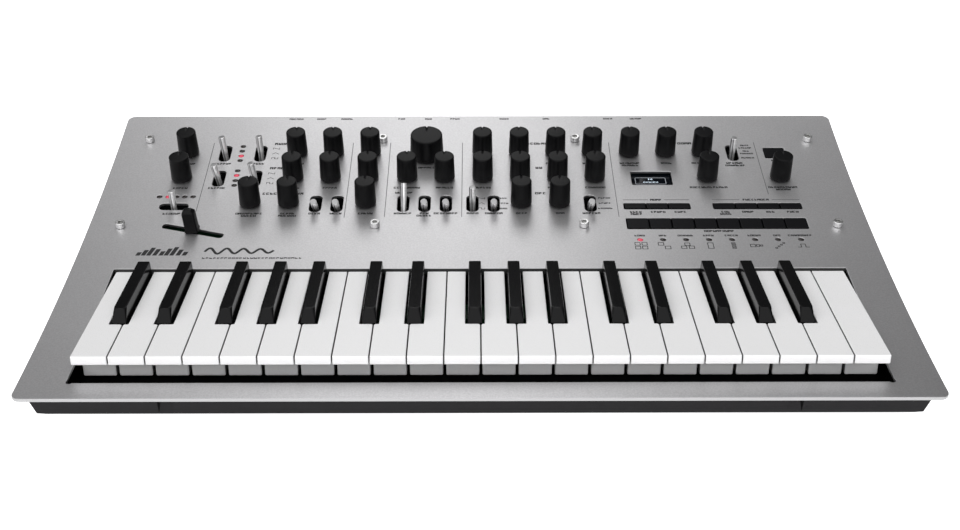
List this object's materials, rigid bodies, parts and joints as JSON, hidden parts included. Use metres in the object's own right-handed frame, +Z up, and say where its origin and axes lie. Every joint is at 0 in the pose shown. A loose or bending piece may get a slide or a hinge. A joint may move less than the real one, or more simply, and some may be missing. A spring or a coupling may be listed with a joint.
{
  "type": "synthesizer",
  "caption": "Compact keyboard synthesizer with a curved aluminium control panel, slim keys, knobs, toggle switches and a wooden rear panel with sockets.",
  "frame": {"origin": "under the middle of the panel's outline, on the surface that the feet stand on", "axes": "+X to the player's right along the keyboard, +Y to the rear, +Z up"},
  "size_m": [0.5, 0.303, 0.086],
  "materials": {
    "panel_aluminium": "satin, sand-blasted and clear anodised",
    "case_plastic": "fine moulded texture",
    "rear_wood": "satin lacquer on reddish hardwood",
    "steel": "zinc-plated",
    "knob_plastic": "soft satin black",
    "button_plastic": "satin black",
    "chrome": "polished",
    "white_key": "semi-gloss",
    "black_key": "semi-gloss",
    "display_glass": "glossy display window",
    "circuit_board": "solder mask"
  },
  "bodies": {
    "chassis": {"top_panel": "panel_aluminium", "bottom_case": "case_plastic", "rear_panel": "rear_wood", "jack_board": "steel", "control_board": "knob_plastic", "keybed_frame": "steel", "key_contact_board": "circuit_board", "display_module": "display_glass"},
    "master_volume_knob": {"master_volume_knob": "knob_plastic"},
    "tempo_knob": {"tempo_knob": "knob_plastic"},
    "cutoff_knob": {"cutoff_knob": "knob_plastic"},
    "resonance_knob": {"resonance_knob": "knob_plastic"},
    "program_value_knob": {"program_value_knob": "knob_plastic"},
    "voice_mode_depth_knob": {"voice_mode_depth_knob": "knob_plastic"},
    "pitch_slider": {"pitch_slider": "knob_plastic"},
    "octave_switch": {"octave_switch": "chrome"},
    "filter_slope_switch": {"filter_slope_switch": "chrome"},
    "output_routing_switch": {"output_routing_switch": "chrome"},
    "edit_buttons": {"edit_buttons": "button_plastic"},
    "sequencer_buttons": {"sequencer_buttons": "button_plastic"},
    "voice_mode_buttons": {"voice_mode_buttons": "button_plastic"},
    "hold_button": {"hold_button": "button_plastic"},
    "power_button": {"power_button": "button_plastic"},
    "key_c1": {"key_c1": "white_key"},
    "key_c1_sharp": {"key_c1_sharp": "black_key"},
    "key_d1": {"key_d1": "white_key"},
    "key_d1_sharp": {"key_d1_sharp": "black_key"},
    "key_e1": {"key_e1": "white_key"},
    "key_f1": {"key_f1": "white_key"},
    "key_f1_sharp": {"key_f1_sharp": "black_key"},
    "key_g1": {"key_g1": "white_key"},
    "key_g1_sharp": {"key_g1_sharp": "black_key"},
    "key_a1": {"key_a1": "white_key"},
    "key_a1_sharp": {"key_a1_sharp": "black_key"},
    "key_b1": {"key_b1": "white_key"},
    "key_c2": {"key_c2": "white_key"},
    "key_c2_sharp": {"key_c2_sharp": "black_key"},
    "key_d2": {"key_d2": "white_key"},
    "key_d2_sharp": {"key_d2_sharp": "black_key"},
    "key_e2": {"key_e2": "white_key"},
    "key_f2": {"key_f2": "white_key"},
    "key_f2_sharp": {"key_f2_sharp": "black_key"},
    "key_g2": {"key_g2": "white_key"},
    "key_g2_sharp": {"key_g2_sharp": "black_key"},
    "key_a2": {"key_a2": "white_key"},
    "key_a2_sharp": {"key_a2_sharp": "black_key"},
    "key_b2": {"key_b2": "white_key"},
    "key_c3": {"key_c3": "white_key"},
    "key_c3_sharp": {"key_c3_sharp": "black_key"},
    "key_d3": {"key_d3": "white_key"},
    "key_d3_sharp": {"key_d3_sharp": "black_key"},
    "key_e3": {"key_e3": "white_key"},
    "key_f3": {"key_f3": "white_key"},
    "key_f3_sharp": {"key_f3_sharp": "black_key"},
    "key_g3": {"key_g3": "white_key"},
    "key_g3_sharp": {"key_g3_sharp": "black_key"},
    "key_a3": {"key_a3": "white_key"},
    "key_a3_sharp": {"key_a3_sharp": "black_key"},
    "key_b3": {"key_b3": "white_key"},
    "key_c4": {"key_c4": "white_key"}
  },
  "joints": [
    {"name": "master_volume_turn", "type": "hinge", "parent": "chassis", "child": "master_volume_knob", "pos_m": [-0.1998, 0.10755, 0.0671], "axis": [0, -0.2437, 0.9698], "range_deg": [-150, 150]},
    {"name": "tempo_turn", "type": "hinge", "parent": "chassis", "child": "tempo_knob", "pos_m": [-0.1998, 0.07867, 0.06016], "axis": [0, -0.224, 0.9746], "range_deg": [-150, 150]},
    {"name": "cutoff_turn", "type": "hinge", "parent": "chassis", "child": "cutoff_knob", "pos_m": [-0.03585, 0.10512, 0.0665], "axis": [0, -0.2421, 0.9703], "range_deg": [-150, 150]},
    {"name": "resonance_turn", "type": "hinge", "parent": "chassis", "child": "resonance_knob", "pos_m": [-0.0484, 0.07867, 0.06016], "axis": [0, -0.224, 0.9746], "range_deg": [-150, 150]},
    {"name": "program_value_turn", "type": "hinge", "parent": "chassis", "child": "program_value_knob", "pos_m": [0.1534, 0.07867, 0.06016], "axis": [0, -0.224, 0.9746], "continuous": true},
    {"name": "voice_mode_depth_turn", "type": "hinge", "parent": "chassis", "child": "voice_mode_depth_knob", "pos_m": [0.2026, 0.07867, 0.06016], "axis": [0, -0.224, 0.9746], "range_deg": [-150, 150]},
    {"name": "pitch_slide", "type": "slide", "parent": "chassis", "child": "pitch_slider", "axis": [0.9583, -0.2808, -0.0525], "range_m": [-0.015, 0.015], "stiffness_N_per_m": 60},
    {"name": "octave_lever", "type": "hinge", "parent": "chassis", "child": "octave_switch", "pos_m": [-0.1997, 0.04763, 0.04827], "axis": [0, 0.9794, 0.2022], "range_deg": [-35, 35], "stiffness_Nm_per_rad": 0.03},
    {"name": "filter_slope_lever", "type": "hinge", "parent": "chassis", "child": "filter_slope_switch", "pos_m": [-0.0499, 0.05068, 0.0489], "axis": [1, 0, 0], "range_deg": [0, 76]},
    {"name": "output_routing_lever", "type": "hinge", "parent": "chassis", "child": "output_routing_switch", "pos_m": [0.1747, 0.10876, 0.06226], "axis": [1, 0, 0], "range_deg": [-38, 38]},
    {"name": "edit_press", "type": "slide", "parent": "chassis", "child": "edit_buttons", "axis": [0, 0.2019, -0.9794], "range_m": [0, 0.0006], "stiffness_N_per_m": 600, "springref_m": -0.001},
    {"name": "sequencer_press", "type": "slide", "parent": "chassis", "child": "sequencer_buttons", "axis": [0, 0.2019, -0.9794], "range_m": [0, 0.0006], "stiffness_N_per_m": 600, "springref_m": -0.001},
    {"name": "voice_mode_press", "type": "slide", "parent": "chassis", "child": "voice_mode_buttons", "axis": [0, 0.1886, -0.9821], "range_m": [0, 0.0006], "stiffness_N_per_m": 600, "springref_m": -0.001},
    {"name": "hold_press", "type": "slide", "parent": "chassis", "child": "hold_button", "axis": [0, 0.2436, -0.9699], "range_m": [0, 0.0006], "stiffness_N_per_m": 600, "springref_m": -0.001},
    {"name": "power_press", "type": "slide", "parent": "chassis", "child": "power_button", "axis": [0, -1, 0], "range_m": [0, 0.0015], "stiffness_N_per_m": 300, "springref_m": -0.001},
    {"name": "key_c1_press", "type": "hinge", "parent": "chassis", "child": "key_c1", "pos_m": [0, 0.0015, 0.0294], "axis": [1, 0, 0], "range_deg": [0, 3], "stiffness_Nm_per_rad": 0.3, "springref_deg": -11.46},
    {"name": "key_c1_sharp_press", "type": "hinge", "parent": "chassis", "child": "key_c1_sharp", "pos_m": [0, 0.0015, 0.0294], "axis": [1, 0, 0], "range_deg": [0, 3], "stiffness_Nm_per_rad": 0.3, "springref_deg": -11.46},
    {"name": "key_d1_press", "type": "hinge", "parent": "chassis", "child": "key_d1", "pos_m": [0, 0.0015, 0.0294], "axis": [1, 0, 0], "range_deg": [0, 3], "stiffness_Nm_per_rad": 0.3, "springref_deg": -11.46},
    {"name": "key_d1_sharp_press", "type": "hinge", "parent": "chassis", "child": "key_d1_sharp", "pos_m": [0, 0.0015, 0.0294], "axis": [1, 0, 0], "range_deg": [0, 3], "stiffness_Nm_per_rad": 0.3, "springref_deg": -11.46},
    {"name": "key_e1_press", "type": "hinge", "parent": "chassis", "child": "key_e1", "pos_m": [0, 0.0015, 0.0294], "axis": [1, 0, 0], "range_deg": [0, 3], "stiffness_Nm_per_rad": 0.3, "springref_deg": -11.46},
    {"name": "key_f1_press", "type": "hinge", "parent": "chassis", "child": "key_f1", "pos_m": [0, 0.0015, 0.0294], "axis": [1, 0, 0], "range_deg": [0, 3], "stiffness_Nm_per_rad": 0.3, "springref_deg": -11.46},
    {"name": "key_f1_sharp_press", "type": "hinge", "parent": "chassis", "child": "key_f1_sharp", "pos_m": [0, 0.0015, 0.0294], "axis": [1, 0, 0], "range_deg": [0, 3], "stiffness_Nm_per_rad": 0.3, "springref_deg": -11.46},
    {"name": "key_g1_press", "type": "hinge", "parent": "chassis", "child": "key_g1", "pos_m": [0, 0.0015, 0.0294], "axis": [1, 0, 0], "range_deg": [0, 3], "stiffness_Nm_per_rad": 0.3, "springref_deg": -11.46},
    {"name": "key_g1_sharp_press", "type": "hinge", "parent": "chassis", "child": "key_g1_sharp", "pos_m": [0, 0.0015, 0.0294], "axis": [1, 0, 0], "range_deg": [0, 3], "stiffness_Nm_per_rad": 0.3, "springref_deg": -11.46},
    {"name": "key_a1_press", "type": "hinge", "parent": "chassis", "child": "key_a1", "pos_m": [0, 0.0015, 0.0294], "axis": [1, 0, 0], "range_deg": [0, 3], "stiffness_Nm_per_rad": 0.3, "springref_deg": -11.46},
    {"name": "key_a1_sharp_press", "type": "hinge", "parent": "chassis", "child": "key_a1_sharp", "pos_m": [0, 0.0015, 0.0294], "axis": [1, 0, 0], "range_deg": [0, 3], "stiffness_Nm_per_rad": 0.3, "springref_deg": -11.46},
    {"name": "key_b1_press", "type": "hinge", "parent": "chassis", "child": "key_b1", "pos_m": [0, 0.0015, 0.0294], "axis": [1, 0, 0], "range_deg": [0, 3], "stiffness_Nm_per_rad": 0.3, "springref_deg": -11.46},
    {"name": "key_c2_press", "type": "hinge", "parent": "chassis", "child": "key_c2", "pos_m": [0, 0.0015, 0.0294], "axis": [1, 0, 0], "range_deg": [0, 3], "stiffness_Nm_per_rad": 0.3, "springref_deg": -11.46},
    {"name": "key_c2_sharp_press", "type": "hinge", "parent": "chassis", "child": "key_c2_sharp", "pos_m": [0, 0.0015, 0.0294], "axis": [1, 0, 0], "range_deg": [0, 3], "stiffness_Nm_per_rad": 0.3, "springref_deg": -11.46},
    {"name": "key_d2_press", "type": "hinge", "parent": "chassis", "child": "key_d2", "pos_m": [0, 0.0015, 0.0294], "axis": [1, 0, 0], "range_deg": [0, 3], "stiffness_Nm_per_rad": 0.3, "springref_deg": -11.46},
    {"name": "key_d2_sharp_press", "type": "hinge", "parent": "chassis", "child": "key_d2_sharp", "pos_m": [0, 0.0015, 0.0294], "axis": [1, 0, 0], "range_deg": [0, 3], "stiffness_Nm_per_rad": 0.3, "springref_deg": -11.46},
    {"name": "key_e2_press", "type": "hinge", "parent": "chassis", "child": "key_e2", "pos_m": [0, 0.0015, 0.0294], "axis": [1, 0, 0], "range_deg": [0, 3], "stiffness_Nm_per_rad": 0.3, "springref_deg": -11.46},
    {"name": "key_f2_press", "type": "hinge", "parent": "chassis", "child": "key_f2", "pos_m": [0, 0.0015, 0.0294], "axis": [1, 0, 0], "range_deg": [0, 3], "stiffness_Nm_per_rad": 0.3, "springref_deg": -11.46},
    {"name": "key_f2_sharp_press", "type": "hinge", "parent": "chassis", "child": "key_f2_sharp", "pos_m": [0, 0.0015, 0.0294], "axis": [1, 0, 0], "range_deg": [0, 3], "stiffness_Nm_per_rad": 0.3, "springref_deg": -11.46},
    {"name": "key_g2_press", "type": "hinge", "parent": "chassis", "child": "key_g2", "pos_m": [0, 0.0015, 0.0294], "axis": [1, 0, 0], "range_deg": [0, 3], "stiffness_Nm_per_rad": 0.3, "springref_deg": -11.46},
    {"name": "key_g2_sharp_press", "type": "hinge", "parent": "chassis", "child": "key_g2_sharp", "pos_m": [0, 0.0015, 0.0294], "axis": [1, 0, 0], "range_deg": [0, 3], "stiffness_Nm_per_rad": 0.3, "springref_deg": -11.46},
    {"name": "key_a2_press", "type": "hinge", "parent": "chassis", "child": "key_a2", "pos_m": [0, 0.0015, 0.0294], "axis": [1, 0, 0], "range_deg": [0, 3], "stiffness_Nm_per_rad": 0.3, "springref_deg": -11.46},
    {"name": "key_a2_sharp_press", "type": "hinge", "parent": "chassis", "child": "key_a2_sharp", "pos_m": [0, 0.0015, 0.0294], "axis": [1, 0, 0], "range_deg": [0, 3], "stiffness_Nm_per_rad": 0.3, "springref_deg": -11.46},
    {"name": "key_b2_press", "type": "hinge", "parent": "chassis", "child": "key_b2", "pos_m": [0, 0.0015, 0.0294], "axis": [1, 0, 0], "range_deg": [0, 3], "stiffness_Nm_per_rad": 0.3, "springref_deg": -11.46},
    {"name": "key_c3_press", "type": "hinge", "parent": "chassis", "child": "key_c3", "pos_m": [0, 0.0015, 0.0294], "axis": [1, 0, 0], "range_deg": [0, 3], "stiffness_Nm_per_rad": 0.3, "springref_deg": -11.46},
    {"name": "key_c3_sharp_press", "type": "hinge", "parent": "chassis", "child": "key_c3_sharp", "pos_m": [0, 0.0015, 0.0294], "axis": [1, 0, 0], "range_deg": [0, 3], "stiffness_Nm_per_rad": 0.3, "springref_deg": -11.46},
    {"name": "key_d3_press", "type": "hinge", "parent": "chassis", "child": "key_d3", "pos_m": [0, 0.0015, 0.0294], "axis": [1, 0, 0], "range_deg": [0, 3], "stiffness_Nm_per_rad": 0.3, "springref_deg": -11.46},
    {"name": "key_d3_sharp_press", "type": "hinge", "parent": "chassis", "child": "key_d3_sharp", "pos_m": [0, 0.0015, 0.0294], "axis": [1, 0, 0], "range_deg": [0, 3], "stiffness_Nm_per_rad": 0.3, "springref_deg": -11.46},
    {"name": "key_e3_press", "type": "hinge", "parent": "chassis", "child": "key_e3", "pos_m": [0, 0.0015, 0.0294], "axis": [1, 0, 0], "range_deg": [0, 3], "stiffness_Nm_per_rad": 0.3, "springref_deg": -11.46},
    {"name": "key_f3_press", "type": "hinge", "parent": "chassis", "child": "key_f3", "pos_m": [0, 0.0015, 0.0294], "axis": [1, 0, 0], "range_deg": [0, 3], "stiffness_Nm_per_rad": 0.3, "springref_deg": -11.46},
    {"name": "key_f3_sharp_press", "type": "hinge", "parent": "chassis", "child": "key_f3_sharp", "pos_m": [0, 0.0015, 0.0294], "axis": [1, 0, 0], "range_deg": [0, 3], "stiffness_Nm_per_rad": 0.3, "springref_deg": -11.46},
    {"name": "key_g3_press", "type": "hinge", "parent": "chassis", "child": "key_g3", "pos_m": [0, 0.0015, 0.0294], "axis": [1, 0, 0], "range_deg": [0, 3], "stiffness_Nm_per_rad": 0.3, "springref_deg": -11.46},
    {"name": "key_g3_sharp_press", "type": "hinge", "parent": "chassis", "child": "key_g3_sharp", "pos_m": [0, 0.0015, 0.0294], "axis": [1, 0, 0], "range_deg": [0, 3], "stiffness_Nm_per_rad": 0.3, "springref_deg": -11.46},
    {"name": "key_a3_press", "type": "hinge", "parent": "chassis", "child": "key_a3", "pos_m": [0, 0.0015, 0.0294], "axis": [1, 0, 0], "range_deg": [0, 3], "stiffness_Nm_per_rad": 0.3, "springref_deg": -11.46},
    {"name": "key_a3_sharp_press", "type": "hinge", "parent": "chassis", "child": "key_a3_sharp", "pos_m": [0, 0.0015, 0.0294], "axis": [1, 0, 0], "range_deg": [0, 3], "stiffness_Nm_per_rad": 0.3, "springref_deg": -11.46},
    {"name": "key_b3_press", "type": "hinge", "parent": "chassis", "child": "key_b3", "pos_m": [0, 0.0015, 0.0294], "axis": [1, 0, 0], "range_deg": [0, 3], "stiffness_Nm_per_rad": 0.3, "springref_deg": -11.46},
    {"name": "key_c4_press", "type": "hinge", "parent": "chassis", "child": "key_c4", "pos_m": [0, 0.0015, 0.0294], "axis": [1, 0, 0], "range_deg": [0, 3], "stiffness_Nm_per_rad": 0.3, "springref_deg": -11.46}
  ]
}
